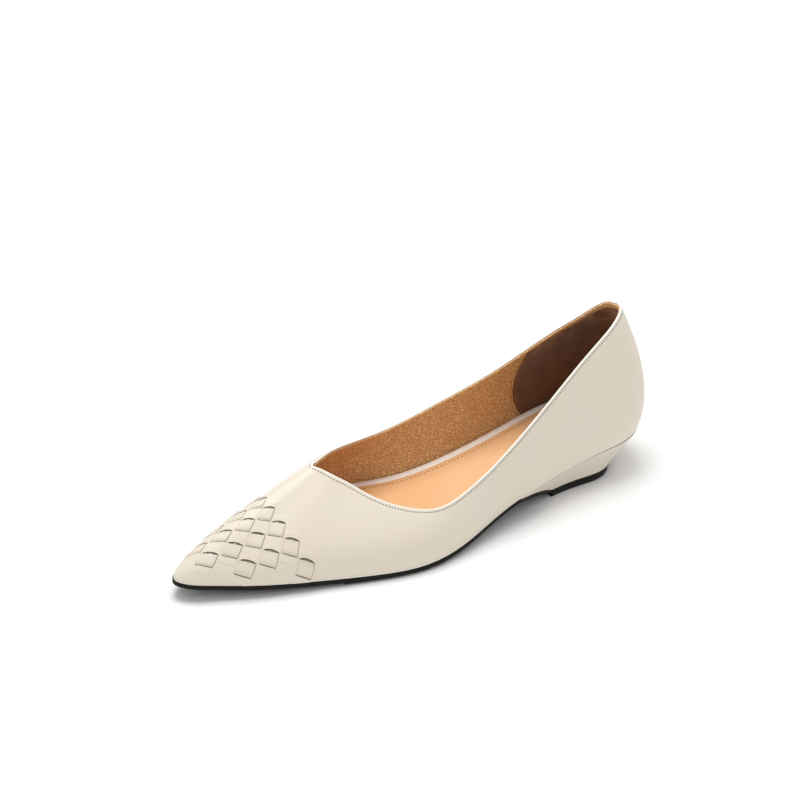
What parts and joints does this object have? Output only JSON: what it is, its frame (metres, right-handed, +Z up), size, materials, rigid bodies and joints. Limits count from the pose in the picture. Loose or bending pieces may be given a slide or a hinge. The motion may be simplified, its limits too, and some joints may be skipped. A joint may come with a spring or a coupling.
{
  "type": "pointed toe flat shoe",
  "caption": "Empty left low-cut flat shoe with a pointed woven toe, a low covered wedge heel and a black sole, used to cover and support a foot.",
  "frame": {"origin": "on the floor under the middle of the shoe, at the bottom centre of its bounding box", "axes": "+Z up from the floor, -Y towards the toe, +X towards the outer (lateral) side of this left shoe"},
  "size_m": [0.0808, 0.2554, 0.0802],
  "materials": {
    "cream_leather": "satin",
    "heel_leather": "satin",
    "wrapped_edge": "satin",
    "tan_sock": "matte",
    "black_rubber": "matte"
  },
  "bodies": {
    "root": {"upper": "cream_leather", "insole": "wrapped_edge", "sock_lining": "tan_sock", "outsole": "black_rubber", "heel": "heel_leather", "top_lift": "black_rubber"}
  },
  "joints": []
}
